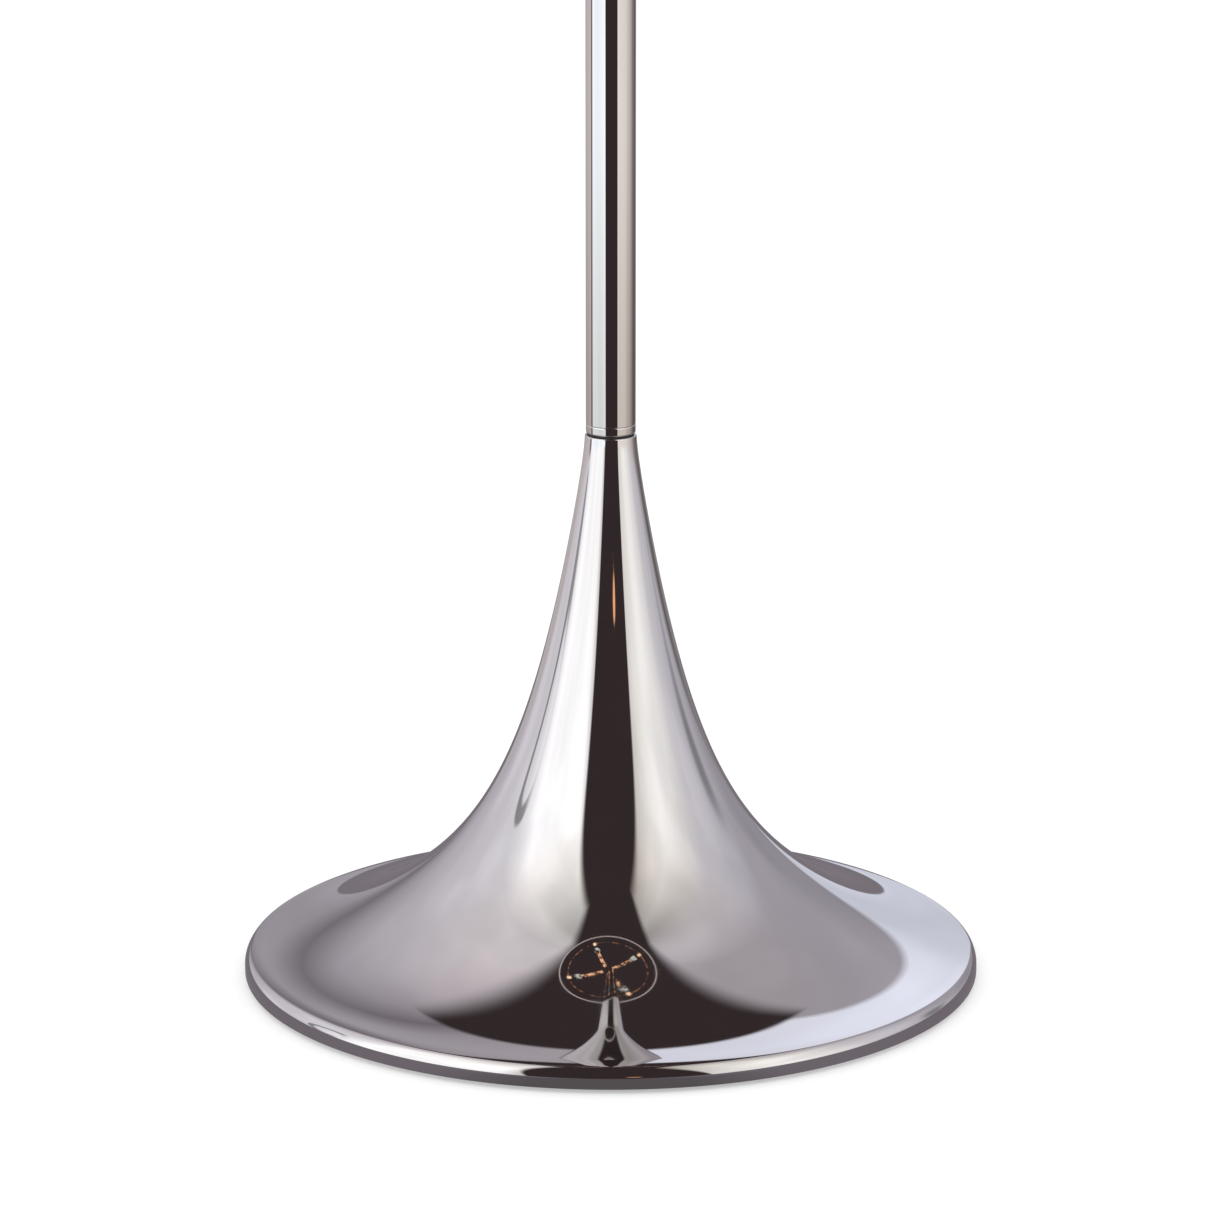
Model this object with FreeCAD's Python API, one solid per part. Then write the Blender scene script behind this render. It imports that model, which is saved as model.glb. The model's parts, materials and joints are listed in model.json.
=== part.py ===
import FreeCAD, Part
import math
import os

# Trumpet-foot floor stand: a spun, chromed trumpet foot with a cast-iron weight
# inside, and a slim round column clamped on its neck by a central tie rod.
# Millimetres, +Z up, origin on the floor at the centre of the foot.

# Foot shell
FOOT_R = 150.0            # outer radius of the foot
SHELL_T = 1.2             # sheet thickness of the spun shell
FLOOR_GAP = 1.5           # shell edge above the floor; the rubber ring stands on the floor
RIM_WALL_H = 3.6          # straight vertical wall at the rim
SHOULDER_R = 6.6          # rounding above the wall
CORNER_R = 2.6            # crisp rounding above the shoulder
ROLL_R = 55.0             # gentle roll-off between the flare and the corner
CORNER_SLOPE = 45.0       # slope where shoulder and corner meet, in degrees
ROLL_SLOPE_LOW = 15.8     # slope where corner and roll-off meet
ROLL_SLOPE_TOP = 11.0     # slope where roll-off and flare meet
HEM_W = 6.0               # inward hem at the bottom of the wall, measured from the outside
HEM_BEND_R = 1.0          # outside bend radius of the hem
NECK_LIP_R = 0.6          # small rounding on the neck's top edge
NECK_HOLE_R = 6.0         # hole in the neck's turned-in top
OFFSET_STEPS = 24         # points used to follow the flare at a constant distance

# Flare of the shell: control points of one smooth curve, radius and height above the
# shell's bottom edge, from the neck downwards. The last two control points follow from
# the rim, which the flare meets without a kink.
FLARE_POLES = [
    (10.4, 223.3),
    (11.0, 211.2),
    (14.6, 188.1),
    (37.1, 67.9),
    (38.0, 67.1),
]
FLARE_LAST_LEG = 54.1     # radial distance between the last two control points

# Column
COLUMN_R = 10.0           # outer radius of the column tube
COLUMN_WALL = 1.5         # wall of the column tube
STAND_H = 700.0           # height of the whole stand
PLUG_FLANGE_H = 3.7       # visible ring under the tube
PLUG_EDGE_R = 0.6         # rounded edges of the plug flanges
BOTTOM_PLUG_DEPTH = 32.0  # length of the lower plug inside the tube
TOP_FLANGE_H = 3.7        # ring on the upper end of the tube
TOP_PLUG_DEPTH = 30.0     # length of the upper plug inside the tube
TOP_THREAD_DEPTH = 24.0   # depth of the threaded hole from the top face
SEAM_WASHER_R = 9.5       # black washer set back from the column's surface
SEAM_WASHER_T = 0.8       # its thickness

# Tie rod and what it clamps
THREAD_R = 5.0            # M10 thread, outer radius
THREAD_CLEAR_R = 5.5      # clearance hole for the M10 thread
ROD_END_CHAMFER = 1.0     # chamfer on the rod's ends
ROD_GRIP_IN_PLUG = 22.0   # length screwed into the lower plug
BUSH_H = 34.0             # height of the neck bush
BUSH_GAP = 0.15           # bush to shell
SPACER_R = 9.0            # outer radius of the spacer tube
SPACER_WALL = 2.5         # its wall
SPACER_SEAT = 4.0         # depth of the tube's seat in the ballast

# Ballast
BALLAST_R = 128.0         # outer radius of the weight
BALLAST_BOTTOM_Z = 6.5    # underside of the weight
BALLAST_TOP_Z = 33.0      # flat top of the weight
BALLAST_GAP = 1.6         # weight to shell, filled by the gasket at the outer part
GASKET_R_IN = 106.0       # inner radius of the gasket
GASKET_R_OUT = 126.0      # outer radius of the gasket
POCKET_R = 24.0           # pocket for washer and nut under the weight
POCKET_H = 16.0           # its height
WASHER_R = 20.0           # spreader washer
WASHER_T = 3.0
SPRING_R = 8.9            # spring washer, outer radius
SPRING_T = 2.2
SPRING_SPLIT = 1.6        # width of its split
NUT_FLATS = 17.0          # M10 nut, across flats
NUT_H = 8.0
NUT_CHAMFER_ANGLE = 30.0  # degrees

# Cover, screws and floor ring
COVER_R = 140.0
COVER_T = 1.5
SCREW_COUNT = 4
SCREW_CIRCLE_R = 96.0
SCREW_R = 2.0             # M4
SCREW_LENGTH = 9.0        # shank length
SCREW_HOLE_CLEAR = 0.25   # radial clearance in the cover
SCREW_TIP_GAP = 1.0       # free depth of the tapped hole beyond the tip
SCREW_HEAD_R = 3.9
SCREW_HEAD_H = 2.4
SCREW_HEAD_ROUND = 1.2
SLOT_W = 1.0
SLOT_DEPTH = 1.1
RING_R_IN = 125.0
RING_R_OUT = 137.0
RING_EDGE_R = 1.2

os.makedirs("parts", exist_ok=True)

AXIS_POINT = FreeCAD.Vector(0, 0, 0)
UP = FreeCAD.Vector(0, 0, 1)


def point(radius, height):
    return FreeCAD.Vector(radius, 0, height)


def line(start, end):
    return Part.makeLine(point(*start), point(*end))


def arc(start, middle, end):
    return Part.Arc(point(*start), point(*middle), point(*end)).toShape()


def bend(centre, radius, start_deg, end_deg):
    """Arc about a centre in the (radius, height) plane, between two angles in degrees."""
    def at(angle):
        turn = math.radians(angle)
        return (centre[0] + radius * math.cos(turn), centre[1] + radius * math.sin(turn))
    return arc(at(start_deg), at((start_deg + end_deg) / 2), at(end_deg))


def turned(edges):
    """Solid of revolution from a closed outline in the (radius, height) plane."""
    face = Part.Face(Part.Wire(Part.__sortEdges__(edges)))
    return face.revolve(AXIS_POINT, UP, 360)


def turned_outline(points):
    closed = points + [points[0]]
    return turned([line(a, b) for a, b in zip(closed, closed[1:])])


def tube(r_out, r_in, z_low, z_high):
    return turned_outline([(r_in, z_low), (r_out, z_low), (r_out, z_high), (r_in, z_high)])


def disc(radius, z_low, z_high):
    return Part.makeCylinder(radius, z_high - z_low, point(0, z_low), UP)


def rim_bends():
    """Rim roundings from the wall upwards, each one tangent to the one before it:
    centre, radius, first and last angle in degrees."""
    centre = (FOOT_R, FLOOR_GAP + RIM_WALL_H)
    radius = 0
    start_deg = 0
    bends = []
    for next_radius, slope in [
        (SHOULDER_R, CORNER_SLOPE),
        (CORNER_R, ROLL_SLOPE_LOW),
        (ROLL_R, ROLL_SLOPE_TOP),
    ]:
        turn = math.radians(start_deg)
        step = radius - next_radius
        centre = (centre[0] + step * math.cos(turn), centre[1] + step * math.sin(turn))
        bends.append((centre, next_radius, start_deg, 90 - slope))
        radius = next_radius
        start_deg = 90 - slope
    return bends


def rim_edges(inset):
    return [bend(centre, r - inset, low, high) for centre, r, low, high in rim_bends()]


def flare_curve():
    centre, radius, _, end_deg = rim_bends()[-1]
    turn = math.radians(end_deg)
    end = point(centre[0] + radius * math.cos(turn), centre[1] + radius * math.sin(turn))
    leg = FLARE_LAST_LEG * math.tan(math.radians(ROLL_SLOPE_TOP))
    poles = [point(r, FLOOR_GAP + h) for r, h in FLARE_POLES]
    poles.append(end + point(-FLARE_LAST_LEG, leg))
    poles.append(end)
    curve = Part.BezierCurve()
    curve.setPoles(poles)
    return curve


def flare_inside(distance):
    """Smooth curve inside the shell at a constant distance from its outer surface."""
    outer = flare_curve()
    points = []
    for step in range(OFFSET_STEPS + 1):
        place, tangent = outer.getD1(step / OFFSET_STEPS)
        tangent.normalize()
        inward = FreeCAD.Vector(tangent.z, 0, -tangent.x)
        points.append(place + inward * distance)
    inside = Part.BSplineCurve()
    inside.interpolate(points)
    return inside


def level(height):
    return Part.Line(point(0, height), point(1, height))


def upright(radius):
    return Part.Line(point(radius, 0), point(radius, 1))


def stretch(curve, *cuts):
    """Edge of a curve from its crossing with one straight line to its crossing with a second
    one, or to its end without a second one, and both ends as (radius, height) pairs."""
    ends = []
    for cut in cuts:
        crossing = curve.intersectCC(cut)[0]
        ends.append(point(crossing.X, crossing.Z))
    if len(cuts) == 1:
        ends.append(curve.value(curve.LastParameter))
    params = [curve.parameter(end) for end in ends]
    edge = curve.toShape(min(params), max(params))
    return edge, [(end.x, end.z) for end in ends]


def plug_flange(r_in, z_low, z_high):
    """Ring as wide as the column, with both outer edges rounded."""
    inner_r = COLUMN_R - PLUG_EDGE_R
    low = z_low + PLUG_EDGE_R
    high = z_high - PLUG_EDGE_R
    return turned([
        line((r_in, z_low), (inner_r, z_low)),
        bend((inner_r, low), PLUG_EDGE_R, -90, 0),
        line((COLUMN_R, low), (COLUMN_R, high)),
        bend((inner_r, high), PLUG_EDGE_R, 0, 90),
        line((inner_r, z_high), (r_in, z_high)),
        line((r_in, z_high), (r_in, z_low)),
    ])


def hexagon(across_flats, z_low, z_high):
    corner = across_flats / math.sqrt(3)
    corners = []
    for side in range(7):
        turn = math.radians(60 * side)
        corners.append(FreeCAD.Vector(corner * math.cos(turn), corner * math.sin(turn), z_low))
    face = Part.Face(Part.makePolygon(corners))
    return face.extrude(FreeCAD.Vector(0, 0, z_high - z_low))


def trumpet_shell():
    """One spun sheet, from the turned-in neck to the hem under the rim."""
    inside_edge, (neck_in, _) = stretch(flare_inside(SHELL_T), level(neck_under_z))
    wall_in_r = FOOT_R - SHELL_T
    hem_in_r = FOOT_R - HEM_W
    hem_top_z = FLOOR_GAP + SHELL_T
    lip_centre = (neck_r - NECK_LIP_R, neck_top_z - NECK_LIP_R)
    hem_centre = (FOOT_R - HEM_BEND_R, FLOOR_GAP + HEM_BEND_R)
    return turned([
        flare_curve().toShape(),
        bend(lip_centre, NECK_LIP_R, 0, 90),
        line((lip_centre[0], neck_top_z), (NECK_HOLE_R, neck_top_z)),
        line((NECK_HOLE_R, neck_top_z), (NECK_HOLE_R, neck_under_z)),
        line((NECK_HOLE_R, neck_under_z), neck_in),
        inside_edge,
        *rim_edges(SHELL_T),
        line((wall_in_r, wall_top_z), (wall_in_r, hem_top_z)),
        line((wall_in_r, hem_top_z), (hem_in_r, hem_top_z)),
        line((hem_in_r, hem_top_z), (hem_in_r, FLOOR_GAP)),
        line((hem_in_r, FLOOR_GAP), (hem_centre[0], FLOOR_GAP)),
        bend(hem_centre, HEM_BEND_R, -90, 0),
        line((FOOT_R, hem_centre[1]), (FOOT_R, wall_top_z)),
        *rim_edges(0),
    ])


def neck_bush():
    """Turned bush that fills the neck under its turned-in top."""
    bottom_z = neck_under_z - BUSH_H
    inside = flare_inside(SHELL_T + BUSH_GAP)
    side, (top, bottom) = stretch(inside, level(neck_under_z), level(bottom_z))
    return turned([
        side,
        line(bottom, (THREAD_CLEAR_R, bottom_z)),
        line((THREAD_CLEAR_R, bottom_z), (THREAD_CLEAR_R, neck_under_z)),
        line((THREAD_CLEAR_R, neck_under_z), top),
    ])


def spacer_tube():
    bush_bottom_z = neck_under_z - BUSH_H
    return tube(SPACER_R, SPACER_R - SPACER_WALL, BALLAST_TOP_Z - SPACER_SEAT, bush_bottom_z)


def column_bottom_plug():
    flange_top = plug_bottom_z + PLUG_FLANGE_H
    flange = plug_flange(THREAD_R, plug_bottom_z, flange_top)
    spigot = tube(COLUMN_R - COLUMN_WALL, THREAD_R, flange_top, flange_top + BOTTOM_PLUG_DEPTH)
    return flange.fuse(spigot).removeSplitter()


def column_top_plug():
    flange_bottom = STAND_H - TOP_FLANGE_H
    flange = plug_flange(0, flange_bottom, STAND_H)
    spigot = disc(COLUMN_R - COLUMN_WALL, flange_bottom - TOP_PLUG_DEPTH, flange_bottom)
    hole = disc(THREAD_R, STAND_H - TOP_THREAD_DEPTH, STAND_H)
    return flange.fuse(spigot).cut(hole).removeSplitter()


def tie_rod():
    top_z = plug_bottom_z + ROD_GRIP_IN_PLUG
    small_r = THREAD_R - ROD_END_CHAMFER
    return turned_outline([
        (0, rod_bottom_z),
        (small_r, rod_bottom_z),
        (THREAD_R, rod_bottom_z + ROD_END_CHAMFER),
        (THREAD_R, top_z - ROD_END_CHAMFER),
        (small_r, top_z),
        (0, top_z),
    ])


def ballast_weight():
    """Cast disc that follows the inside of the shell, with a flat top, a seat for the spacer
    tube, a bore for the tie rod, a pocket for the nut and tapped holes for the cover."""
    inside = flare_inside(SHELL_T + BALLAST_GAP)
    slope, (top, edge) = stretch(inside, level(BALLAST_TOP_Z), upright(BALLAST_R))
    casting = turned([
        slope,
        line(edge, (BALLAST_R, BALLAST_BOTTOM_Z)),
        line((BALLAST_R, BALLAST_BOTTOM_Z), (THREAD_CLEAR_R, BALLAST_BOTTOM_Z)),
        line((THREAD_CLEAR_R, BALLAST_BOTTOM_Z), (THREAD_CLEAR_R, BALLAST_TOP_Z)),
        line((THREAD_CLEAR_R, BALLAST_TOP_Z), top),
    ])
    casting = casting.cut(disc(POCKET_R, BALLAST_BOTTOM_Z, pocket_top_z))
    casting = casting.cut(disc(SPACER_R, BALLAST_TOP_Z - SPACER_SEAT, BALLAST_TOP_Z))
    hole_depth = SCREW_LENGTH - COVER_T + SCREW_TIP_GAP
    for place in screw_places():
        hole = Part.makeCylinder(SCREW_R, hole_depth, place + UP * BALLAST_BOTTOM_Z, UP)
        casting = casting.cut(hole)
    return casting


def ballast_gasket():
    """Rubber ring that fills the gap between weight and shell near the weight's edge."""
    upper, (top_in, top_out) = stretch(
        flare_inside(SHELL_T), upright(GASKET_R_IN), upright(GASKET_R_OUT))
    lower, (low_in, low_out) = stretch(
        flare_inside(SHELL_T + BALLAST_GAP), upright(GASKET_R_IN), upright(GASKET_R_OUT))
    return turned([upper, lower, line(top_in, low_in), line(top_out, low_out)])


def spreader_washer():
    return tube(WASHER_R, THREAD_CLEAR_R, pocket_top_z - WASHER_T, pocket_top_z)


def spring_washer():
    ring = tube(SPRING_R, THREAD_CLEAR_R, spring_bottom_z, spring_bottom_z + SPRING_T)
    split = Part.makeBox(SPRING_R, SPRING_SPLIT, SPRING_T)
    split.translate(FreeCAD.Vector(0, -SPRING_SPLIT / 2, spring_bottom_z))
    return ring.cut(split)


def tie_rod_nut():
    """Hexagon nut with its corners turned off on both faces."""
    corner = NUT_FLATS / math.sqrt(3)
    flat_r = NUT_FLATS / 2
    drop = (corner - flat_r) * math.tan(math.radians(NUT_CHAMFER_ANGLE))
    turned_form = turned_outline([
        (0, nut_bottom_z),
        (flat_r, nut_bottom_z),
        (corner, nut_bottom_z + drop),
        (corner, spring_bottom_z - drop),
        (flat_r, spring_bottom_z),
        (0, spring_bottom_z),
    ])
    nut = hexagon(NUT_FLATS, nut_bottom_z, spring_bottom_z).common(turned_form)
    return nut.cut(disc(THREAD_R, nut_bottom_z, spring_bottom_z))


def screw_places():
    places = []
    for index in range(SCREW_COUNT):
        turn = math.radians(45 + 360 / SCREW_COUNT * index)
        places.append(FreeCAD.Vector(math.cos(turn), math.sin(turn), 0) * SCREW_CIRCLE_R)
    return places


def bottom_cover():
    cover = disc(COVER_R, cover_bottom_z, BALLAST_BOTTOM_Z)
    for place in screw_places():
        hole = Part.makeCylinder(
            SCREW_R + SCREW_HOLE_CLEAR, COVER_T, place + UP * cover_bottom_z, UP)
        cover = cover.cut(hole)
    return cover


def cover_screw():
    """Pan-head screw standing upright, head down, with the head's seat at height 0."""
    head = turned([
        line((0, 0), (SCREW_HEAD_R, 0)),
        line((SCREW_HEAD_R, 0), (SCREW_HEAD_R, SCREW_HEAD_ROUND - SCREW_HEAD_H)),
        bend((SCREW_HEAD_R - SCREW_HEAD_ROUND, SCREW_HEAD_ROUND - SCREW_HEAD_H),
             SCREW_HEAD_ROUND, 0, -90),
        line((SCREW_HEAD_R - SCREW_HEAD_ROUND, -SCREW_HEAD_H), (0, -SCREW_HEAD_H)),
        line((0, -SCREW_HEAD_H), (0, 0)),
    ])
    shank = disc(SCREW_R, 0, SCREW_LENGTH)
    slot = Part.makeBox(2 * SCREW_HEAD_R, SLOT_W, SLOT_DEPTH)
    slot.translate(FreeCAD.Vector(-SCREW_HEAD_R, -SLOT_W / 2, -SCREW_HEAD_H))
    return head.fuse(shank).cut(slot).removeSplitter()


def cover_screws():
    screws = []
    for place in screw_places():
        screw = cover_screw()
        screw.translate(place + UP * cover_bottom_z)
        screws.append(screw)
    return Part.makeCompound(screws)


def foot_ring():
    """Rubber ring glued under the cover, rounded where it meets the floor."""
    return turned([
        line((RING_R_IN, RING_EDGE_R), (RING_R_IN, cover_bottom_z)),
        line((RING_R_IN, cover_bottom_z), (RING_R_OUT, cover_bottom_z)),
        line((RING_R_OUT, cover_bottom_z), (RING_R_OUT, RING_EDGE_R)),
        bend((RING_R_OUT - RING_EDGE_R, RING_EDGE_R), RING_EDGE_R, 0, -90),
        line((RING_R_OUT - RING_EDGE_R, 0), (RING_R_IN + RING_EDGE_R, 0)),
        bend((RING_R_IN + RING_EDGE_R, RING_EDGE_R), RING_EDGE_R, -90, -180),
    ])


# Heights that several pieces share
neck_r, neck_h = FLARE_POLES[0]
neck_top_z = FLOOR_GAP + neck_h + NECK_LIP_R
neck_under_z = neck_top_z - SHELL_T
wall_top_z = FLOOR_GAP + RIM_WALL_H
plug_bottom_z = neck_top_z + SEAM_WASHER_T
pocket_top_z = BALLAST_BOTTOM_Z + POCKET_H
spring_bottom_z = pocket_top_z - WASHER_T - SPRING_T
nut_bottom_z = spring_bottom_z - NUT_H
rod_bottom_z = nut_bottom_z - ROD_END_CHAMFER
cover_bottom_z = BALLAST_BOTTOM_Z - COVER_T

PIECES = {
    "trumpet_shell": trumpet_shell(),
    "neck_bush": neck_bush(),
    "seam_washer": tube(SEAM_WASHER_R, THREAD_CLEAR_R, neck_top_z, plug_bottom_z),
    "column_bottom_plug": column_bottom_plug(),
    "column_tube": tube(
        COLUMN_R, COLUMN_R - COLUMN_WALL, plug_bottom_z + PLUG_FLANGE_H, STAND_H - TOP_FLANGE_H),
    "column_top_plug": column_top_plug(),
    "spacer_tube": spacer_tube(),
    "tie_rod": tie_rod(),
    "ballast_weight": ballast_weight(),
    "ballast_gasket": ballast_gasket(),
    "spreader_washer": spreader_washer(),
    "spring_washer": spring_washer(),
    "tie_rod_nut": tie_rod_nut(),
    "bottom_cover": bottom_cover(),
    "cover_screws": cover_screws(),
    "foot_ring": foot_ring(),
}

for name, shape in PIECES.items():
    shape.exportStep("parts/" + name + ".step")
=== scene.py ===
import bpy
import json
import math
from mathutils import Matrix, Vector


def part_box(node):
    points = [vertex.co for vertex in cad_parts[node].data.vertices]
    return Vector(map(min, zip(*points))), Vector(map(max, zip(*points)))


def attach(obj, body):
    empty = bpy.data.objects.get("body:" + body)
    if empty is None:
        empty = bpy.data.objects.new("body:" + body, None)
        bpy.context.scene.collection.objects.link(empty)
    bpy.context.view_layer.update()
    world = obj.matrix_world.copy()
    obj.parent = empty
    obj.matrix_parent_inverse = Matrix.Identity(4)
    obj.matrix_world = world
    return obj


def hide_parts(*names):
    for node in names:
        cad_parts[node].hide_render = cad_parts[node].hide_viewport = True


# Looks of the trumpet-foot stand. Metres, +Z up, floor at z = 0, camera on the -Y side.
# Outlines are written in millimetres, as in the CAD model, and scaled when meshed.

MM = 0.001

# Foot shell. Its rim is a wall, a shoulder, a tighter corner and a wide roll into the flare.
FOOT_R = 150.0
SHELL_T = 1.2              # sheet thickness
FLOOR_GAP = 1.5            # lower edge above the floor
RIM_WALL_H = 3.6
SHOULDER_R = 6.6
CORNER_R = 2.6
ROLL_R = 55.0
CORNER_SLOPE = 45.0        # slope in degrees where the shoulder meets the corner
ROLL_SLOPE_LOW = 15.8      # where the corner meets the roll
ROLL_SLOPE_TOP = 11.0      # where the roll meets the flare
HEM_W = 6.0                # turned in under the rim
HEM_BEND_R = 1.0
NECK_LIP_R = 0.6
NECK_HOLE_R = 6.0

# Bezier poles of the flare from the neck down, as radius and height over the lower edge.
# Two more follow from the roll: one up its slope by the last leg, and the roll's end.
FLARE_POLES = [(10.4, 223.3), (11.0, 211.2), (14.6, 188.1), (37.1, 67.9), (38.0, 67.1)]
FLARE_LAST_LEG = 54.1

# Column
COLUMN_R = 10.0
COLUMN_BORE_R = 8.5
TUBE_EDGE_R = 0.15
FLANGE_H = 3.7             # the part of each plug that stands out of the tube
PLUG_EDGE_R = 0.6
THREAD_R = 5.0
THREAD_PITCH = 1.5
THREAD_DEPTH = 0.8         # how far the thread's ridge stands in from the bore
TOP_THREAD_LENGTH = 24.0
WASHER_EDGE_R = 0.2

# Foot ring
RING_R_IN = 125.0
RING_R_OUT = 137.0
RING_EDGE_R = 1.2

# Fineness of the turned meshes
FLARE_STEPS = 150
INNER_FLARE_STEPS = 50
ARC_STEPS = 14
INNER_ARC_STEPS = 5
THREAD_STEPS = 8           # points per thread pitch
SHELL_SEGMENTS = 320
COLUMN_SEGMENTS = 192
RING_SEGMENTS = 256
HOLD = 0.1                 # distance of the points that keep flat faces flat next to a rounding
AXIS_R = 0.01              # hair-thin hole where a turned solid reaches its axis
SAME_PLACE = 0.001         # points closer than this are one
SHARP_DEG = 30.0           # edges sharper than this aren't smoothed over

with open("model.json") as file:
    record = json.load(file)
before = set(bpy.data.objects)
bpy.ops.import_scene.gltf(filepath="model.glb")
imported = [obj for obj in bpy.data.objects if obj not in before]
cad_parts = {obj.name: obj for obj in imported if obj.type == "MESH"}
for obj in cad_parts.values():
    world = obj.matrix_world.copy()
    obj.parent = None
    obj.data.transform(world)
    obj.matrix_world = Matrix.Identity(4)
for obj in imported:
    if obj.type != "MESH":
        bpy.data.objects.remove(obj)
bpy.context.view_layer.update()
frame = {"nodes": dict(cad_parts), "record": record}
nodes = frame["nodes"]
scene = bpy.context.scene


# ---------------------------------------------------------------- outlines and turned meshes

def arc(centre, radius, start_deg, end_deg, steps=ARC_STEPS):
    """Points on an arc, both ends included. Angles count from outwards to upwards."""
    points = []
    for i in range(steps + 1):
        turn = math.radians(start_deg + (end_deg - start_deg) * i / steps)
        points.append((centre[0] + radius * math.cos(turn), centre[1] + radius * math.sin(turn)))
    return points


def rim_bends():
    """The rim's roundings from the wall upwards, each one tangent to the one before it, as
    centre, radius and the angles where it starts and ends."""
    centre = (FOOT_R, FLOOR_GAP + RIM_WALL_H)
    radius = 0
    start_deg = 0
    bends = []
    for next_radius, slope in [
        (SHOULDER_R, CORNER_SLOPE),
        (CORNER_R, ROLL_SLOPE_LOW),
        (ROLL_R, ROLL_SLOPE_TOP),
    ]:
        turn = math.radians(start_deg)
        step = radius - next_radius
        centre = (centre[0] + step * math.cos(turn), centre[1] + step * math.sin(turn))
        bends.append((centre, next_radius, start_deg, 90 - slope))
        radius = next_radius
        start_deg = 90 - slope
    return bends


def rim(inset=0.0, steps=ARC_STEPS):
    """Points over the rim from the top of its wall to the end of the flare."""
    points = []
    for centre, radius, start_deg, end_deg in rim_bends():
        points += arc(centre, radius - inset, start_deg, end_deg, steps)
    return points


def flare_poles():
    """All Bezier poles of the flare, the last two of them in line with the rim's roll."""
    end = Vector(rim()[-1])
    leg = FLARE_LAST_LEG * math.tan(math.radians(ROLL_SLOPE_TOP))
    poles = [Vector((r, FLOOR_GAP + h)) for r, h in FLARE_POLES]
    return poles + [end + Vector((-FLARE_LAST_LEG, leg)), end]


def bernstein(n, k, t):
    return math.comb(n, k) * t ** k * (1 - t) ** (n - k)


def flare(inset=0.0, steps=FLARE_STEPS):
    """Points down the flare, moved into the sheet by an inset."""
    poles = flare_poles()
    n = len(poles) - 1
    points = []
    for i in range(steps + 1):
        t = i / steps
        place = Vector((0.0, 0.0))
        slope = Vector((0.0, 0.0))
        for k in range(n + 1):
            place += bernstein(n, k, t) * poles[k]
        for k in range(n):
            slope += bernstein(n - 1, k, t) * (poles[k + 1] - poles[k])
        place += Vector((slope.y, -slope.x)).normalized() * inset
        points.append((place.x, place.y))
    return points


def without_doubles(points):
    """The points of a closed outline, each place once."""
    kept = [points[0]]
    for place in points[1:]:
        if math.dist(place, kept[-1]) > SAME_PLACE:
            kept.append(place)
    if math.dist(kept[0], kept[-1]) < SAME_PLACE:
        kept.pop()
    return kept


def turned(name, replaced, slot, outline, segments, relief=None):
    """Piece turned about Z from a closed outline of (radius, height) in millimetres.
    A relief function gives what each point's radius gains, from its radius, height and angle."""
    outline = without_doubles(outline)
    count = len(outline)
    verts = []
    for i in range(segments):
        turn = 2 * math.pi * i / segments
        for radius, height in outline:
            r = radius + (relief(radius, height, turn) if relief else 0)
            verts.append((r * MM * math.cos(turn), r * MM * math.sin(turn), height * MM))
    faces = []
    for i in range(segments):
        j = (i + 1) % segments
        for k in range(count):
            m = (k + 1) % count
            faces.append((i * count + k, j * count + k, j * count + m, i * count + m))
    mesh = bpy.data.meshes.new(name)
    mesh.from_pydata(verts, [], faces)
    mesh.update()
    piece = bpy.data.objects.new(name, mesh)
    scene.collection.objects.link(piece)
    with bpy.context.temp_override(object=piece, selected_editable_objects=[piece]):
        bpy.ops.object.shade_smooth_by_angle(angle=math.radians(SHARP_DEG))
    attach(piece, "root")
    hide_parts(replaced)
    paint(piece, slot)


def rounded_ring(r_in, r_out, z_low, z_high, edge_r):
    """Ring outline with both outer edges rounded, from the inner top to the inner bottom.
    Points close to the roundings keep the shading of the flat faces flat."""
    side_r = r_out - edge_r
    return (
        [(r_in, z_high), (side_r - HOLD, z_high)]
        + arc((side_r, z_high - edge_r), edge_r, 90, 0)
        + [(r_out, z_high - edge_r - HOLD), (r_out, z_low + edge_r + HOLD)]
        + arc((side_r, z_low + edge_r), edge_r, 0, -90)
        + [(side_r - HOLD, z_low), (r_in, z_low)]
    )


# ---------------------------------------------------------------- materials

CHROME = (0.66, 0.65, 0.655)
NOISE_SPAN = (0.3, 0.7)    # nearly all of a noise texture's values
MIX_INPUTS = (0, 6, 7)     # a Mix node's share and its two colours, among its sockets
MIX_OUTPUT = 2             # its mixed colour


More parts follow.
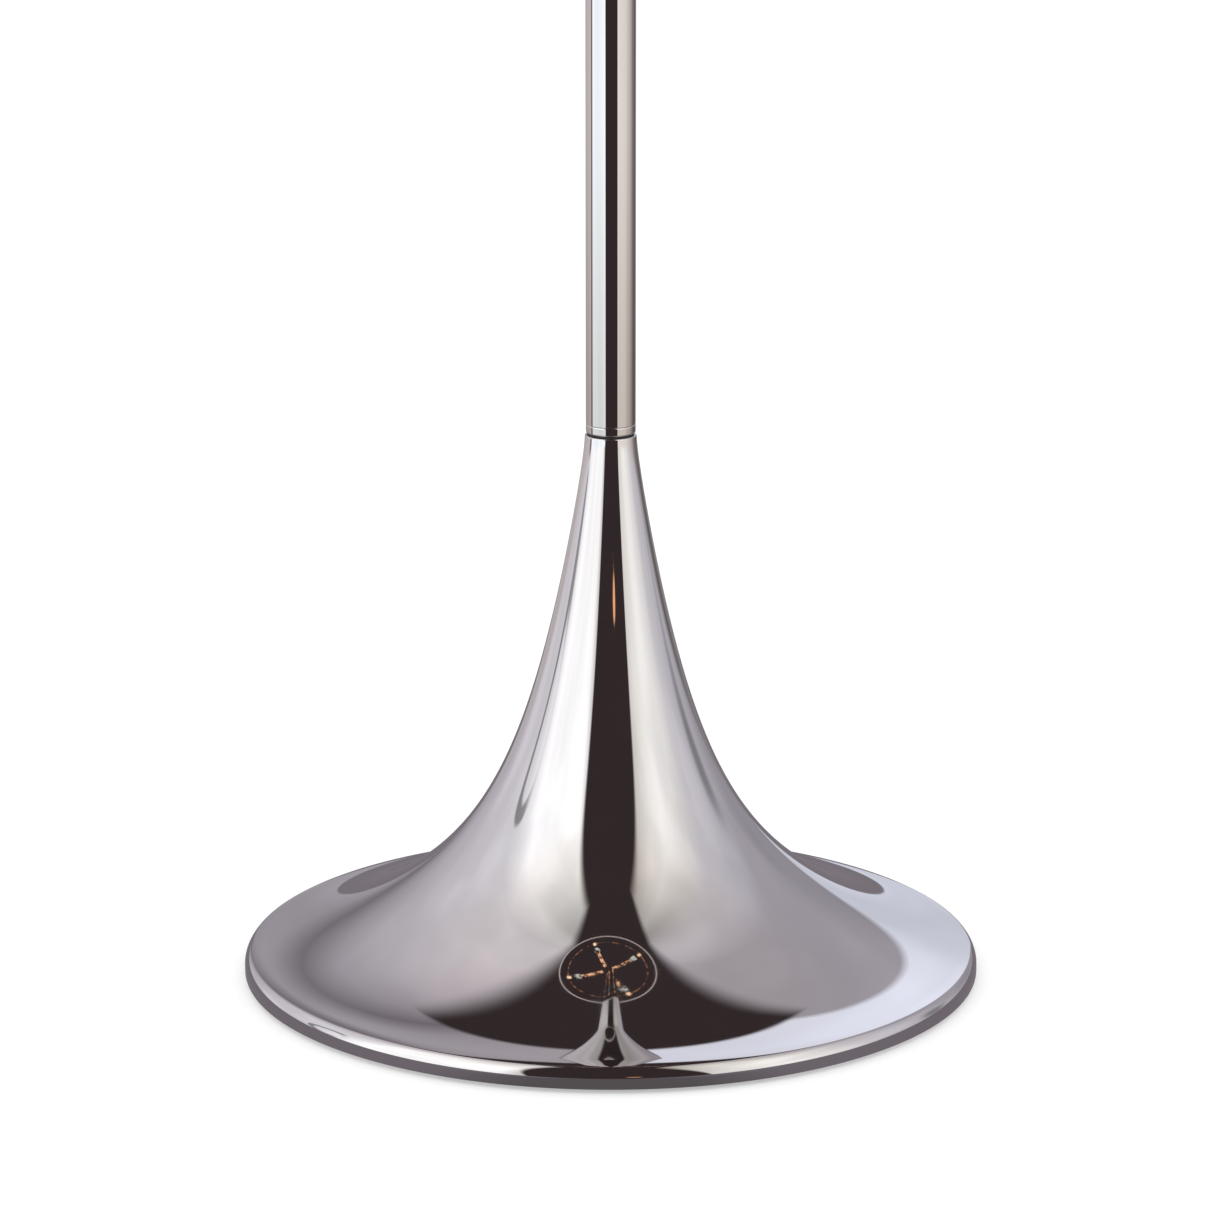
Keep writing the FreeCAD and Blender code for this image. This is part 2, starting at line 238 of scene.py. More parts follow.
class Surface:
    """A principled material with noise-driven roughness, colour and bump."""

    def __init__(self, name, colour, metallic=0.0, roughness=0.5, specular=0.5):
        self.material = bpy.data.materials.new(name)
        self.material.use_nodes = True
        self.tree = self.material.node_tree
        self.shader = self.tree.nodes["Principled BSDF"]
        self.shader.inputs["Base Color"].default_value = (*colour, 1)
        self.shader.inputs["Metallic"].default_value = metallic
        self.shader.inputs["Roughness"].default_value = roughness
        self.shader.inputs["Specular IOR Level"].default_value = specular
        self.coordinates = self.tree.nodes.new("ShaderNodeTexCoord").outputs["Object"]

    def noise(self, scale, detail=3.0, stretch=(1, 1, 1)):
        mapping = self.tree.nodes.new("ShaderNodeMapping")
        mapping.inputs["Scale"].default_value = stretch
        self.tree.links.new(self.coordinates, mapping.inputs["Vector"])
        texture = self.tree.nodes.new("ShaderNodeTexNoise")
        texture.inputs["Scale"].default_value = scale
        texture.inputs["Detail"].default_value = detail
        self.tree.links.new(mapping.outputs[0], texture.inputs["Vector"])
        return texture.outputs["Fac"]

    def spread(self, value, low, high):
        """Noise spread out between two limits."""
        ramp = self.tree.nodes.new("ShaderNodeMapRange")
        ramp.inputs["From Min"].default_value = NOISE_SPAN[0]
        ramp.inputs["From Max"].default_value = NOISE_SPAN[1]
        ramp.inputs["To Min"].default_value = low
        ramp.inputs["To Max"].default_value = high
        self.tree.links.new(value, ramp.inputs["Value"])
        return ramp.outputs["Result"]

    def roughen(self, value, low, high):
        self.tree.links.new(self.spread(value, low, high), self.shader.inputs["Roughness"])

    def tint(self, value, colour_low, colour_high):
        mix = self.tree.nodes.new("ShaderNodeMix")
        mix.data_type = "RGBA"
        share, first, second = (mix.inputs[i] for i in MIX_INPUTS)
        self.tree.links.new(self.spread(value, 0, 1), share)
        first.default_value = (*colour_low, 1)
        second.default_value = (*colour_high, 1)
        self.tree.links.new(mix.outputs[MIX_OUTPUT], self.shader.inputs["Base Color"])

    def bump(self, value, depth_mm):
        """Adds relief on top of what is already there."""
        node = self.tree.nodes.new("ShaderNodeBump")
        node.inputs["Distance"].default_value = depth_mm * MM
        self.tree.links.new(value, node.inputs["Height"])
        normal = self.shader.inputs["Normal"]
        if normal.links:
            self.tree.links.new(normal.links[0].from_socket, node.inputs["Normal"])
        self.tree.links.new(node.outputs["Normal"], normal)


def polished_chrome():
    """Mirror plating: faint waviness left by spinning and buffing, and fine haze."""
    s = Surface("polished_chrome", CHROME, metallic=1.0, roughness=0.03)
    s.roughen(s.noise(60, 4), 0.015, 0.045)
    s.bump(s.noise(14, 1), 0.02)
    s.bump(s.noise(2600, 2), 0.00004)
    return s.material


def zinc_plate():
    """Dull bluish plating with yellowish clouds."""
    s = Surface("zinc_plate", (0.62, 0.63, 0.65), metallic=1.0, roughness=0.35)
    s.tint(s.noise(120, 4), (0.56, 0.57, 0.60), (0.66, 0.65, 0.62))
    s.roughen(s.noise(400, 3), 0.26, 0.42)
    s.bump(s.noise(1800, 3), 0.004)
    return s.material


def cast_iron():
    """Rough dark casting."""
    s = Surface("cast_iron", (0.16, 0.16, 0.17), roughness=0.7, specular=0.4)
    s.tint(s.noise(70, 5), (0.11, 0.11, 0.12), (0.20, 0.19, 0.19))
    s.roughen(s.noise(300, 3), 0.55, 0.85)
    s.bump(s.noise(700, 5), 0.12)
    return s.material


def powder_coat():
    """Black paint with a fine orange-peel relief."""
    s = Surface("powder_coat", (0.035, 0.035, 0.037), roughness=0.5, specular=0.5)
    s.tint(s.noise(900, 2), (0.030, 0.030, 0.032), (0.042, 0.042, 0.044))
    s.roughen(s.noise(1500, 2), 0.42, 0.58)
    s.bump(s.noise(1300, 2), 0.06)
    return s.material


def rubber():
    """Matt black rubber."""
    s = Surface("black_rubber", (0.03, 0.03, 0.03), roughness=0.75, specular=0.35)
    s.tint(s.noise(90, 4), (0.024, 0.024, 0.025), (0.040, 0.039, 0.038))
    s.roughen(s.noise(500, 3), 0.66, 0.86)
    s.bump(s.noise(2400, 3), 0.02)
    return s.material


def fibre():
    """Black pressed fibre in thin flat layers."""
    s = Surface("black_fibre", (0.03, 0.028, 0.027), roughness=0.8, specular=0.3)
    s.tint(s.noise(1500, 4, (1, 1, 8)), (0.018, 0.017, 0.016), (0.045, 0.042, 0.040))
    s.roughen(s.noise(900, 3), 0.7, 0.9)
    s.bump(s.noise(3000, 3, (1, 1, 6)), 0.02)
    return s.material


MATERIALS = {
    "chromed_steel": polished_chrome(),
    "zinc_plated_steel": zinc_plate(),
    "cast_iron": cast_iron(),
    "black_painted_steel": powder_coat(),
    "black_rubber": rubber(),
    "black_fibre": fibre(),
}


def paint(piece, slot):
    """Gives a piece the material of its slot."""
    piece.data.materials.clear()
    piece.data.materials.append(MATERIALS[slot])


# ---------------------------------------------------------------- pieces

SLOTS = {part["node"]: part["material_slot"] for part in frame["record"]["subparts"]}


def span(node):
    """Lowest and highest height of a node in millimetres."""
    low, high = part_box(node)
    return low[2] / MM, high[2] / MM


def shell_outline():
    """Down the outside from the neck's lip, round the hem and up the inside to the hole."""
    neck_r = FLARE_POLES[0][0]
    neck_top = span("trumpet_shell")[1]
    wall_top = FLOOR_GAP + RIM_WALL_H
    inner_flare = flare(SHELL_T, INNER_FLARE_STEPS)
    inside = [p for p in inner_flare if p[1] < neck_top - SHELL_T]
    return (
        arc((neck_r - NECK_LIP_R, neck_top - NECK_LIP_R), NECK_LIP_R, 90, 0)
        + flare()
        + rim()[::-1]
        + [(FOOT_R, wall_top - HOLD), (FOOT_R, FLOOR_GAP + HEM_BEND_R + HOLD)]
        + arc((FOOT_R - HEM_BEND_R, FLOOR_GAP + HEM_BEND_R), HEM_BEND_R, 0, -90)
        + [(FOOT_R - HEM_W, FLOOR_GAP),
           (FOOT_R - HEM_W, FLOOR_GAP + SHELL_T),
           (FOOT_R - SHELL_T, FLOOR_GAP + SHELL_T)]
        + rim(SHELL_T, INNER_ARC_STEPS)
        + inside[::-1]
        + [(inside[0][0], neck_top - SHELL_T),
           (NECK_HOLE_R, neck_top - SHELL_T),
           (NECK_HOLE_R, neck_top)]
    )


def lower_plug_outline():
    """Plug bored through, with its flange under the tube."""
    low, high = span("column_bottom_plug")
    shoulder = low + FLANGE_H
    flange = rounded_ring(COLUMN_BORE_R, COLUMN_R, low, shoulder, PLUG_EDGE_R)
    return [(THREAD_R, high), (COLUMN_BORE_R, high)] + flange[:-1] + [(THREAD_R, low)]


def upper_plug_outline():
    """Plug with a blind threaded hole from above and its flange on top of the tube."""
    low, high = span("column_top_plug")
    bore_bottom = high - TOP_THREAD_LENGTH
    flange = rounded_ring(COLUMN_BORE_R, COLUMN_R, high - FLANGE_H, high, PLUG_EDGE_R)
    steps = round(TOP_THREAD_LENGTH / THREAD_PITCH * THREAD_STEPS)
    bore = [(THREAD_R, bore_bottom + TOP_THREAD_LENGTH * i / steps) for i in range(steps + 1)]
    core = [(AXIS_R, low), (AXIS_R, bore_bottom)]
    return flange[1:] + [(COLUMN_BORE_R, low)] + core + bore


def thread_ridge(radius, height, turn):
    """Ridge of a right-hand thread standing inwards from the bore."""
    if abs(radius - THREAD_R) > SAME_PLACE:
        return 0.0
    phase = (height / THREAD_PITCH - turn / (2 * math.pi)) % 1.0
    return -THREAD_DEPTH * (1 - abs(2 * phase - 1))


def tube_outline():
    low, high = span("column_tube")
    return rounded_ring(COLUMN_BORE_R, COLUMN_R, low, high, TUBE_EDGE_R)


def ring_outline():
    high = span("foot_ring")[1]
    return (
        [(RING_R_IN, high), (RING_R_OUT, high)]
        + arc((RING_R_OUT - RING_EDGE_R, RING_EDGE_R), RING_EDGE_R, 0, -90)
        + arc((RING_R_IN + RING_EDGE_R, RING_EDGE_R), RING_EDGE_R, -90, -180)
    )


def washer_outline():
    low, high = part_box("seam_washer")
    return rounded_ring(NECK_HOLE_R, high[0] / MM, low[2] / MM, high[2] / MM, WASHER_EDGE_R)


turned("spun_shell", "trumpet_shell", "chromed_steel", shell_outline(), SHELL_SEGMENTS)
turned("polished_tube", "column_tube", "chromed_steel", tube_outline(), COLUMN_SEGMENTS)
turned("lower_plug", "column_bottom_plug", "chromed_steel", lower_plug_outline(),
       COLUMN_SEGMENTS)
turned("upper_plug", "column_top_plug", "chromed_steel", upper_plug_outline(),
       COLUMN_SEGMENTS, relief=thread_ridge)
turned("shadow_washer", "seam_washer", "black_fibre", washer_outline(), COLUMN_SEGMENTS)
turned("rubber_ring", "foot_ring", "black_rubber", ring_outline(), RING_SEGMENTS)

for name, node in nodes.items():
    paint(node, SLOTS[name])


# ---------------------------------------------------------------- studio

# Reflections show this studio, and nothing else does. Directions round the stand are
# azimuths in degrees, 0 towards the camera and positive towards +X, and x, y and z are the
# parts of a direction of length 1. Colours are screen values from 0 to 255. Pairs of limits
# are where a change starts and ends.

PLATING_LIFT = 1 / CHROME[2]  # makes up for the plating's own tint
PLAIN_LIGHT = 1.12            # even light on all that isn't a mirror
DARK = (48, 39, 40)
STREAK = (232, 165, 118)
WARM = (1.0, 0.965, 0.93, 1)  # factor for a linear colour

# Dark slot between the two light panels in front of the stand
SLOT_SPREAD = 0.525           # half width, as a share of the part towards the camera
SLOT_SHIFT = 0.055            # its middle is right of the camera by this share
SLOT_LEAN = 0.136             # and goes to the left by this share of the height
SLOT_EDGE = (-0.03, 0.05)
SLOT_SOFTNESS = 0.4           # the edge's softness at the horizon, more higher up

# Dark ceiling strip over the stand
STRIP_SPREAD = 0.172          # half width, as a share of z and, behind the stand, y
STRIP_MIDDLE = 0.009
STRIP_SLOPE = 0.88            # it ends where y is more than this share of z
STRIP_END = (-0.01, 0.03)
STRIP_BLUR = 0.012            # softness of its edges in front of the stand
STRIP_BLUR_MORE = 0.14        # they are softer behind it,
STRIP_BLUR_BACK = 0.7         # until y is this
STRIP_BLUR_LEAST = 0.005
STRIP_EDGE_START = -0.9       # where its edges start and end, in widths of the blur
STRIP_EDGE_END_LEFT = 3.8
STRIP_EDGE_END_RIGHT = 2.2
STRIP_SIDES = (-0.05, 0.05)   # the left edge's softness changes into the right one's in x

# Values of z over which the low walls change into the walls, and the dim warm light under
# the horizon into the light above it
LOW_WALLS_FADE = (-0.11, -0.05)
LOW_LIGHT_FADE = (-0.235, -0.165)
LOW_LIGHT = 0.74
LOW_WARMTH = 0.8
TOP_WARMTH_FADE = (0.55, 0.85)

# The front panels get dimmer above this z, by this many times the square of the rise
PANEL_FADE_Z = 0.64
PANEL_FADE = 5.1
PANEL_SIDES = (1.2, 2.0)      # azimuths in radians between which that ends

# The light behind is dimmer low down, and more so at the right
BACK_FADE_X = (-0.05, 0.1)
BACK_FADE_Y = (0.6, 0.9)
BACK_FADE_Z = (0.15, 0.52)
BACK_FADE_LEFT = 0.11
BACK_FADE_RIGHT = 0.25
BACK_GAIN = 0.3               # high up it is brighter, by this share of the dimming

# Slow unevenness of the walls and panels
UNEVEN_SCALE = 2.6
UNEVEN_DETAIL = 2.0
UNEVEN_NOISE = (0.35, 0.65)
UNEVEN_LIGHT = (0.93, 1.05)

# Walls and panels above the horizon
WALLS = [
    (-180, (160, 156, 162)),      # back wall
    (-167.5, (146, 141, 148)),
    (-163.2, (110, 104, 111)),    # gap at the left back
    (-157.5, (148, 143, 150)),
    (-150, (172, 167, 174)),
    (-130, (196, 192, 198)),      # left wall
    (-100, (204, 202, 207)),
    (-92, (224, 222, 225)),
    (-80, (251, 251, 252)),       # left light panel
    (-34, (253, 253, 252)),
    (-27, (200, 198, 196)),       # front, mostly hidden by the dark slot
    (27, (200, 196, 190)),
    (42, (230, 227, 222)),        # right light panel
    (55, (238, 237, 234)),
    (72, (216, 214, 212)),        # right wall
    (90, (194, 191, 196)),
    (121, (170, 167, 175)),
    (127, (160, 156, 163)),       # grey screen at the right back
    (161.0, (150, 146, 153)),
    (161.6, (212, 215, 228)),     # bluish light behind it
    (180, (206, 209, 222)),
]

# The same below the horizon, which the upright column mirrors
LOW_WALLS = [
    (-180, (165, 160, 160)),
    (-104, (192, 184, 184)),
    (-101, (112, 100, 98)),       # dark edge of the left panel
    (-94, (112, 100, 98)),
    (-91, (240, 246, 250)),       # left light panel
    (-30, (243, 248, 251)),
    (30, (226, 221, 214)),        # right light panel, dimmer to the back
    (65, (216, 210, 203)),
    (94, (192, 184, 177)),
    (105, (165, 157, 152)),
    (117, (122, 114, 112)),
    (138, (92, 86, 86)),
    (160, (150, 145, 148)),
    (180, (165, 160, 160)),
]

# Round things in the studio: azimuth, z, half width in degrees and half height in z. Their
# edges are in these radii, a hoop's from its line.
WALL_HOOP = (-97, 0.20, 7.5, 0.21)
WALL_HOOP_EDGE = (0.12, 0.28)
WALL_HOOP_DARKNESS = 0.62
WALL_HOOP_RIGHT = (0.2, 0.9)  # from the first to the second it gets faint
WALL_HOOP_FAINT = 0.15
SMUDGE = (117, 0.13, 9.0, 0.24)
SMUDGE_EDGE = (0.2, 1.1)
SMUDGE_DARKNESS = 0.55
COPPER_SPOT = (7.0, 0.16, 2.6, 0.023)
COPPER_SPOT_EDGE = (0.75, 1.1)


def screen_colour(colour):
    """Screen values from 0 to 255 as a linear colour."""
    linear = []
    for value in colour:
        c = value / 255
        linear.append(c / 12.92 if c <= 0.04045 else ((c + 0.055) / 1.055) ** 2.4)
    return (*linear, 1)


class Graph:
    """Short spellings for the nodes of one world or material."""

    def __init__(self, tree):
        self.tree = tree
        self.tree.nodes.clear()

    def feed(self, value, socket):
        if isinstance(value, bpy.types.NodeSocket):
            self.tree.links.new(value, socket)
        else:
            socket.default_value = value

    def node(self, kind, **settings):
        node = self.tree.nodes.new("ShaderNode" + kind)
        for name, value in settings.items():
            setattr(node, name, value)
        return node

    def maths(self, operation, *values):
        node = self.node("Math", operation=operation)
        for value, socket in zip(values, node.inputs):
            self.feed(value, socket)
        return node.outputs[0]

    def add(self, a, b):
        return self.maths("ADD", a, b)

    def minus(self, a, b):
        return self.maths("SUBTRACT", a, b)

    def times(self, a, b):
        return self.maths("MULTIPLY", a, b)

    def over(self, a, b):
        return self.maths("DIVIDE", a, b)

    def larger(self, a, b):
        return self.maths("MAXIMUM", a, b)

    def smaller(self, a, b):
        return self.maths("MINIMUM", a, b)

    def size(self, a):
        return self.maths("ABSOLUTE", a)

    def step(self, value, low, high, out_low=0.0, out_high=1.0):
        """Smooth step of a value between two limits."""
        node = self.node("MapRange", interpolation_type="SMOOTHSTEP")
        for number, socket in zip((value, low, high, out_low, out_high), node.inputs):
            self.feed(number, socket)
        return node.outputs[0]

    def mix(self, share, first, second, blend="MIX"):
        node = self.node("Mix", data_type="RGBA", blend_type=blend)
        for value, i in zip((share, first, second), MIX_INPUTS):
            self.feed(value, node.inputs[i])
        return node.outputs[MIX_OUTPUT]

    def mix_shaders(self, share, first, second):
        node = self.node("MixShader")
        for value, socket in zip((share, first, second), node.inputs):
            self.feed(value, socket)
        return node.outputs[0]

    def noise(self, vector, scale, detail):
        node = self.node("TexNoise")
        self.feed(vector, node.inputs["Vector"])
        self.feed(scale, node.inputs["Scale"])
        self.feed(detail, node.inputs["Detail"])
        return node.outputs[0]


class Studio(Graph):
    """The world's nodes. x, y and z are the parts of the direction that is looked in."""

    def __init__(self, tree):
        super().__init__(tree)
        self.direction = self.node("TexCoord").outputs["Generated"]
        split = self.node("SeparateXYZ")
        self.feed(self.direction, split.inputs[0])
        self.x, self.y, self.z = split.outputs
        self.azimuth = self.maths("ARCTAN2", self.x, self.times(self.y, -1))
        self.front = self.larger(self.times(self.y, -1), 0)
        self.back = self.larger(self.y, 0)

    def ring_of(self, stops):
        """Colours by azimuth, all the way round."""
        node = self.node("ValToRGB")
        self.feed(self.add(self.over(self.azimuth, 2 * math.pi), 0.5), node.inputs[0])
        elements = node.color_ramp.elements
        while len(elements) < len(stops):
            elements.new(0.5)
        for element, (degrees, colour) in zip(elements, stops):
            element.position = (degrees + 180) / 360
            element.color = screen_colour(colour)
        return node.outputs[0]

    def from_centre(self, degrees, height, half_width, half_height):
        """Place relative to a spot: across it, and distance from its centre in its radii."""
        u = self.minus(self.azimuth, math.radians(degrees))
        u = self.times(u, 1 / math.radians(half_width))
        v = self.times(self.minus(self.z, height), 1 / half_height)
        return u, self.maths("SQRT", self.add(self.times(u, u), self.times(v, v)))

    def beside_slot(self):
        """0 in the dark slot, 1 beside it. Its edges are softer higher up."""
        lean = self.minus(SLOT_SHIFT, self.times(self.z, SLOT_LEAN))
        across = self.size(self.minus(self.x, self.times(self.front, lean)))
        outside = self.minus(across, self.times(self.front, SLOT_SPREAD))
        softness = self.add(SLOT_SOFTNESS, self.times(self.z, self.larger(self.z, 0)))
        return self.step(self.over(outside, softness), *SLOT_EDGE)

    def beside_strip(self):
        """0 in the ceiling strip, 1 beside it. Its left edge is softer than its right one."""
        half_width = self.times(self.add(self.z, self.back), STRIP_SPREAD)
        more = self.times(self.back, self.minus(STRIP_BLUR_BACK, self.back))
        blur = self.add(STRIP_BLUR, self.times(more, STRIP_BLUR_MORE))
        blur = self.larger(blur, STRIP_BLUR_LEAST)
        outside = self.minus(self.size(self.minus(self.x, STRIP_MIDDLE)), half_width)
        edge_end = self.step(self.x, *STRIP_SIDES, STRIP_EDGE_END_LEFT, STRIP_EDGE_END_RIGHT)
        return self.step(self.over(outside, blur), STRIP_EDGE_START, edge_end)

    def past_strip(self):
        """1 behind the strip's end, where the light begins."""
        return self.step(self.minus(self.y, self.times(self.z, STRIP_SLOPE)), *STRIP_END)

    def lit(self):
        """0 where the slot or the strip is dark, 1 on the walls and panels."""
        strip = self.larger(self.beside_strip(), self.past_strip())
        return self.smaller(self.beside_slot(), strip)

    def panel_fade(self):
        rise = self.larger(self.minus(self.z, PANEL_FADE_Z), 0)
        share = self.step(self.size(self.azimuth), *PANEL_SIDES, PANEL_FADE, 0.0)
        return self.times(self.times(rise, rise), share)

    def back_fade(self):
        fade = self.step(self.x, *BACK_FADE_X, BACK_FADE_LEFT, BACK_FADE_RIGHT)
        fade = self.times(fade, self.step(self.z, *BACK_FADE_Z, 1.0, -BACK_GAIN))
        return self.times(fade, self.step(self.y, *BACK_FADE_Y))

    def shadows(self):
        """Dark hoop at the left, faint along its right side, and soft dark thing at the
        right."""
        u, far = self.from_centre(*WALL_HOOP)
        from_line = self.size(self.minus(far, 1.0))
        hoop = self.step(from_line, *WALL_HOOP_EDGE, WALL_HOOP_DARKNESS, 0.0)
        hoop = self.times(hoop, self.step(u, *WALL_HOOP_RIGHT, 1.0, WALL_HOOP_FAINT))
        smudge = self.step(self.from_centre(*SMUDGE)[1], *SMUDGE_EDGE, SMUDGE_DARKNESS, 0.0)
        return self.larger(hoop, smudge)

    def brightness(self):
        """Factor for the colours of the walls and panels."""
        clouds = self.noise(self.direction, UNEVEN_SCALE, UNEVEN_DETAIL)
        uneven = self.step(clouds, *UNEVEN_NOISE, *UNEVEN_LIGHT)
        bright = self.times(uneven, self.step(self.z, *LOW_LIGHT_FADE, LOW_LIGHT, 1.0))
        for fade in [self.panel_fade(), self.back_fade(), self.shadows()]:
            bright = self.times(bright, self.minus(1.0, fade))
        return bright

    def walls(self):
        """Walls and panels, warmer at the top and below the horizon."""
        low = self.step(self.z, *LOW_WALLS_FADE, 1.0, 0.0)
        colour = self.mix(low, self.ring_of(WALLS), self.ring_of(LOW_WALLS))
        below = self.step(self.z, *LOW_LIGHT_FADE, LOW_WARMTH, 0.0)
        warmth = self.larger(self.step(self.z, *TOP_WARMTH_FADE), below)
        scaled = self.node("VectorMath", operation="SCALE")
        self.feed(self.mix(warmth, colour, WARM, "MULTIPLY"), scaled.inputs[0])
        self.feed(self.brightness(), scaled.inputs["Scale"])
        return scaled.outputs[0]

    def dark(self):
        """The slot's and the strip's dark, with one small copper light in it."""
        spot = self.step(self.from_centre(*COPPER_SPOT)[1], *COPPER_SPOT_EDGE, 1.0, 0.0)
        return self.mix(spot, screen_colour(DARK), screen_colour(STREAK))

    def background(self, colour, strength):
        node = self.node("Background")
        self.feed(colour, node.inputs[0])
        self.feed(strength, node.inputs[1])
        return node.outputs[0]


def build_world():
    """The studio for reflections, and plain white light for everything else."""
    world = bpy.data.worlds.new("studio")
    scene.world = world
    world.use_nodes = True
    s = Studio(world.node_tree)
    mirrored = s.background(s.mix(s.lit(), s.dark(), s.walls()), PLATING_LIFT)
    plain = s.background((1, 1, 1, 1), PLAIN_LIGHT)
    mirror_ray = s.node("LightPath").outputs["Is Glossy Ray"]
    s.feed(s.mix_shaders(mirror_ray, plain, mirrored), s.node("OutputWorld").inputs[0])


FLOOR_HALF = 6.0
FLOOR_GLOW = 0.42


def build_floor():
    """Pale floor, left out of reflections. A glow brings it up to the background's white."""
    mesh = bpy.data.meshes.new("floor")
    corners = [(-FLOOR_HALF, -FLOOR_HALF, 0), (FLOOR_HALF, -FLOOR_HALF, 0),
               (FLOOR_HALF, FLOOR_HALF, 0), (-FLOOR_HALF, FLOOR_HALF, 0)]
    mesh.from_pydata(corners, [], [(0, 1, 2, 3)])
    floor = bpy.data.objects.new("floor", mesh)
    scene.collection.objects.link(floor)
    look = Surface("pale_floor", (0.6, 0.6, 0.6), roughness=0.9)
    look.shader.inputs["Emission Color"].default_value = (1, 1, 1, 1)
    look.shader.inputs["Emission Strength"].default_value = FLOOR_GLOW
    mesh.materials.append(look.material)
    floor.visible_glossy = False


# ---------------------------------------------------------------- mirrored things

# Things near the stand that only reflections show, each glowing though it is no lamp: painted
# reflections of the table under it and, over it, of a dark shade with a pale rim, an inner hoop
# and four arms with lamps. Lengths are in metres.
CARD_R = 0.85
CARD_SOLID_R = 0.6            # from here to its edge the table fades out
CARD_DROP = 0.0005            # under the floor's level
# Grey of the painted table reflection, darker along its middle
CARD_MIDDLE = (82, 78, 80)
CARD_SIDES = (106, 100, 106)
CARD_BAND = (0.03, 0.09)      # the middle changes into the sides between these
DISC_CORNERS = 96

HEAD_Z = 0.736                # height of the hoops and arms
HEAD_CENTRE_X = -0.009
SHADE_RISE = 0.012            # the shade lies over them
HOOP_R = 0.144
HOOP_THICKNESS = 0.0034
INNER_HOOP_R = 0.118
INNER_HOOP_THICKNESS = 0.0030
HOOP_STEP_DEG = 4
ARMS = 4
FIRST_ARM_DEG = 64.0          # from +X
PALE = (176, 164, 160)
# Lit and shaded copies of copper on the mirrored arms and inner hoop: painted shade, painted
# light and painted highlight
COPPER_SHADED = (84, 58, 44)
COPPER_LIT = (150, 106, 78)
COPPER_HIGHLIGHT = (240, 184, 144)
LAMP = (190, 190, 182)
GLINT = (255, 232, 196)

# Patches of painted shade and painted highlight on the mirrored things
PATCH_SCALE = 90.0
PATCH_DETAIL = 2.0
PATCH_EDGE = (0.42, 0.62)

# Name, radius at both ends, thickness, darkest and lightest colour. The colours are painted
# shade and painted highlight.
ARM_PARTS = [
    ("arm", 0.016, 0.080, 0.011, COPPER_SHADED, COPPER_HIGHLIGHT),
    ("lamp", 0.082, 0.100, 0.020, DARK, LAMP),
    ("glint", 0.111, 0.122, 0.011, COPPER_HIGHLIGHT, GLINT),
]


def mirrored_only(thing, colour, cover=None):
    """Makes a studio thing glow and show in reflections only, as a painted reflection. The
    functions give its colour and how much it covers what lies behind it. Without a cover
    function it covers all."""
    scene.collection.objects.link(thing)
    thing.visible_camera = False
    thing.visible_diffuse = False
    thing.visible_shadow = False
    thing.visible_transmission = False
    material = bpy.data.materials.new(thing.name)
    material.use_nodes = True
    g = Graph(material.node_tree)
    glow = g.node("Emission")
    g.feed(colour(g), glow.inputs[0])
    g.feed(PLATING_LIFT, glow.inputs[1])
    surface = glow.outputs[0]
    if cover:
        clear = g.node("BsdfTransparent").outputs[0]
        surface = g.mix_shaders(cover(g), clear, surface)
    g.feed(surface, g.node("OutputMaterial").inputs[0])
    thing.data.materials.append(material)


def table_colour(g):
    """Painted reflection of the table: grey, darker along its middle."""
    split = g.node("SeparateXYZ")
    g.feed(g.node("TexCoord").outputs["Object"], split.inputs[0])
    beside = g.step(g.size(split.outputs[0]), *CARD_BAND)
    return g.mix(beside, screen_colour(CARD_MIDDLE), screen_colour(CARD_SIDES))


def table_cover(g):
    """Full in the middle of the table, fading out to its edge."""
    length = g.node("VectorMath", operation="LENGTH")
    g.feed(g.node("TexCoord").outputs["Object"], length.inputs[0])
    return g.step(length.outputs["Value"], CARD_SOLID_R, CARD_R, 1.0, 0.0)


def patchy_light(dark, light):
    """Colour that changes from dark to light over a few millimetres, in patches of painted shade
    and painted highlight.
    """
    def colour(g):
        patches = g.noise(g.node("TexCoord").outputs["Object"], PATCH_SCALE, PATCH_DETAIL)
        return g.mix(g.step(patches, *PATCH_EDGE), screen_colour(dark), screen_colour(light))
    return colour


def mirrored_disc(name, radius, height, colour, cover=None):
    outline = []
    for i in range(DISC_CORNERS):
        turn = 2 * math.pi * i / DISC_CORNERS
        outline.append((radius * math.cos(turn), radius * math.sin(turn), height))
    mesh = bpy.data.meshes.new(name)
    mesh.from_pydata(outline, [], [tuple(range(DISC_CORNERS))])
    disc = bpy.data.objects.new(name, mesh)
    mirrored_only(disc, colour, cover)
    return disc


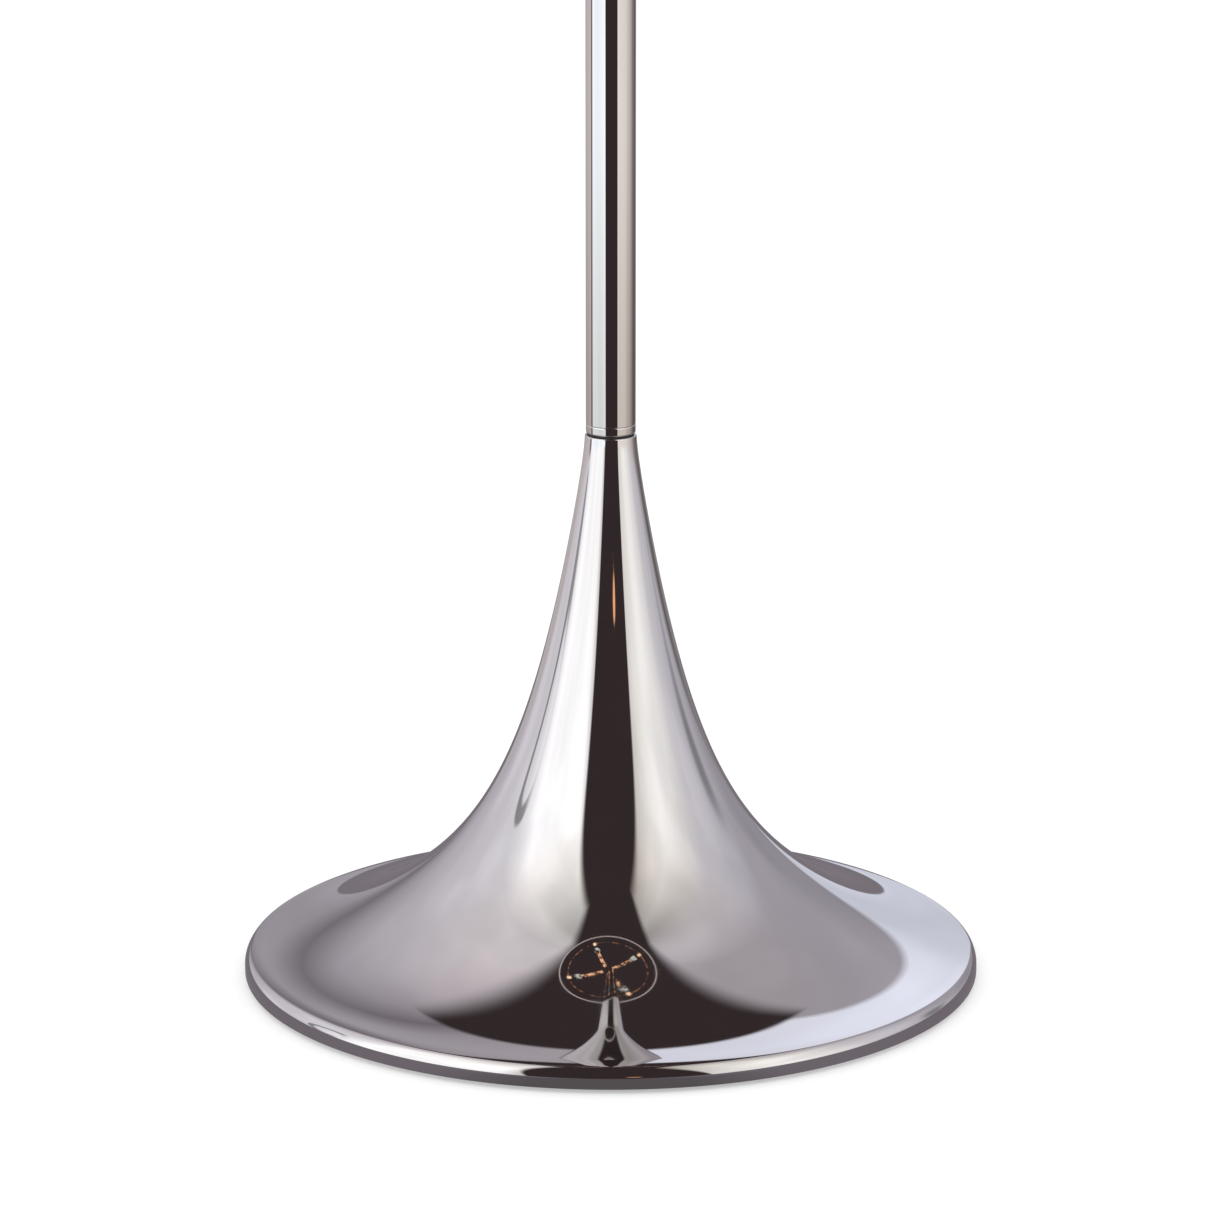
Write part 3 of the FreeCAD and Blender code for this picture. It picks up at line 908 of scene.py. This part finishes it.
def overhead_rod(name, points, thickness, colour, closed=False):
    """Round rod through points (radius, degrees from +X) round the head's centre."""
    curve = bpy.data.curves.new(name, "CURVE")
    curve.dimensions = "3D"
    curve.bevel_depth = thickness / 2
    curve.use_fill_caps = True
    line = curve.splines.new("POLY")
    line.points.add(len(points) - 1)
    for point, (radius, degrees) in zip(line.points, points):
        turn = math.radians(degrees)
        x = HEAD_CENTRE_X + radius * math.cos(turn)
        point.co = (x, radius * math.sin(turn), HEAD_Z, 1)
    line.use_cyclic_u = closed
    mirrored_only(bpy.data.objects.new(name, curve), colour)


def overhead_circle(name, radius, thickness, colour):
    points = [(radius, degrees) for degrees in range(0, 360, HOOP_STEP_DEG)]
    overhead_rod(name, points, thickness, colour, closed=True)


def build_overhead():
    shade = mirrored_disc("overhead_shade", HOOP_R, HEAD_Z + SHADE_RISE, patchy_light(DARK, DARK))
    shade.location.x = HEAD_CENTRE_X
    overhead_circle("overhead_hoop", HOOP_R, HOOP_THICKNESS, patchy_light(PALE, PALE))
    overhead_circle("overhead_inner_hoop", INNER_HOOP_R, INNER_HOOP_THICKNESS,
                    patchy_light(DARK, COPPER_LIT))
    for arm in range(ARMS):
        degrees = FIRST_ARM_DEG + 360 / ARMS * arm
        for name, start, end, thickness, dark, light in ARM_PARTS:
            overhead_rod("overhead_%s_%d" % (name, arm), [(start, degrees), (end, degrees)],
                         thickness, patchy_light(dark, light))


build_world()
build_floor()
mirrored_disc("table_card", CARD_R, -CARD_DROP, table_colour, table_cover)
build_overhead()


# ---------------------------------------------------------------- camera

CAMERA_PLACE = (0.0, -2.10, 0.7193)
CAMERA_DOWN_DEG = 15.077
CAMERA_SENSOR = 36.0
CAMERA_LENS = 159.7
CAMERA_SHIFT = -0.0031
CAMERA_REACH = 50

cam_data = bpy.data.cameras.new("camera")
cam = bpy.data.objects.new("camera", cam_data)
scene.collection.objects.link(cam)
cam_data.sensor_width = CAMERA_SENSOR
cam_data.lens = CAMERA_LENS
cam.location = CAMERA_PLACE
cam.rotation_euler = (math.radians(90 - CAMERA_DOWN_DEG), 0.0, 0.0)
cam_data.shift_x = CAMERA_SHIFT
cam_data.clip_end = CAMERA_REACH
scene.camera = cam
scene.view_settings.view_transform = "Standard"
